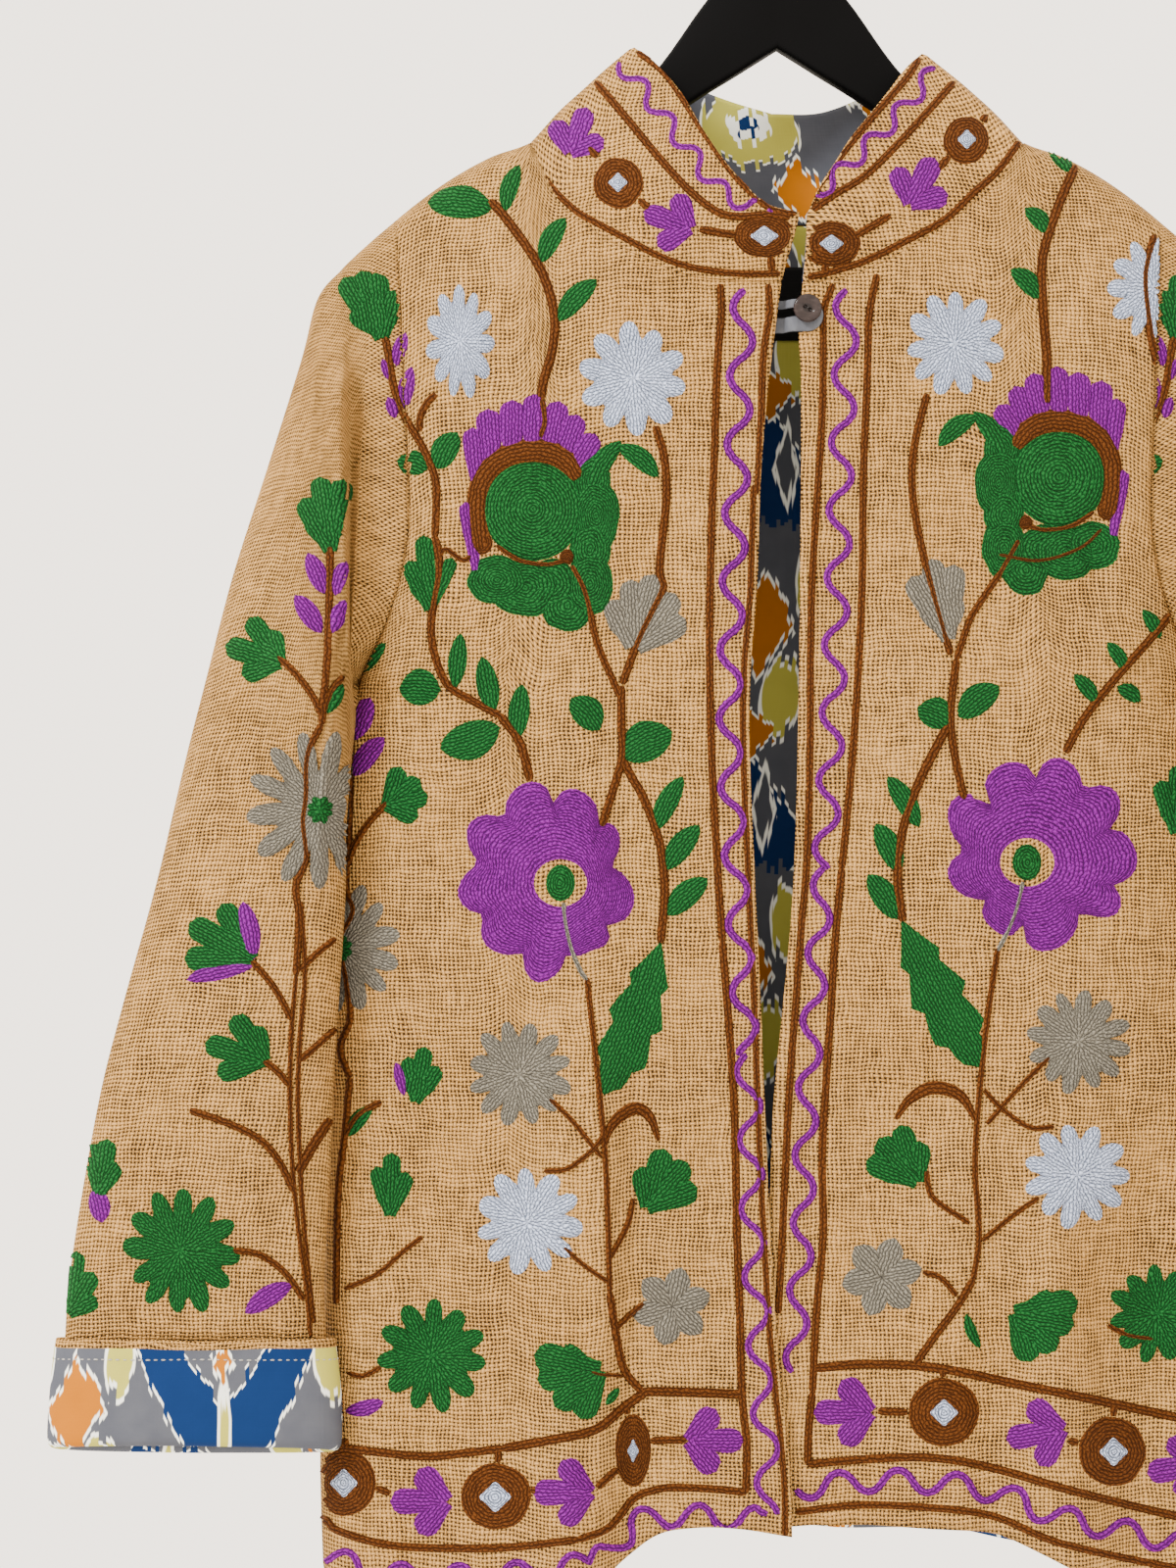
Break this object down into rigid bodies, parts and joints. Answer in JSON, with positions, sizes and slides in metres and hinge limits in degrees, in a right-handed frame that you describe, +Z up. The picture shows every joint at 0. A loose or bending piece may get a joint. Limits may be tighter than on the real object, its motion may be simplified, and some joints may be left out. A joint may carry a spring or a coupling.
{
  "type": "jacket on a hanger",
  "caption": "Open hip-length jacket of coarse cloth with embroidery, stand collar and turned-back cuffs, hanging on a flat hanger.",
  "frame": {"origin": "inner top of the hanger's hook, where a rail carries it", "axes": "+Z up, the jacket faces -Y, and the wearer's left side is at +X"},
  "size_m": [0.6946, 0.0913, 0.8479],
  "materials": {
    "cloth": "coarse tan plain weave with chain stitch in many colours",
    "print": "smooth printed cotton in grey, blue, orange and khaki",
    "tape": "black woven tape",
    "shell": "smoky polished shell",
    "satin": "satin black",
    "wire": "bright drawn wire"
  },
  "bodies": {
    "root": {"front_right": "cloth", "front_left": "cloth", "back": "cloth", "sleeve_right": "cloth", "sleeve_left": "cloth", "collar": "cloth", "back_lining": "print", "collar_lining": "print", "cuff_right": "print", "cuff_left": "print", "button_loop": "print", "label": "tape", "button": "shell", "hanger": "satin", "hanger_hook": "wire"}
  },
  "joints": []
}
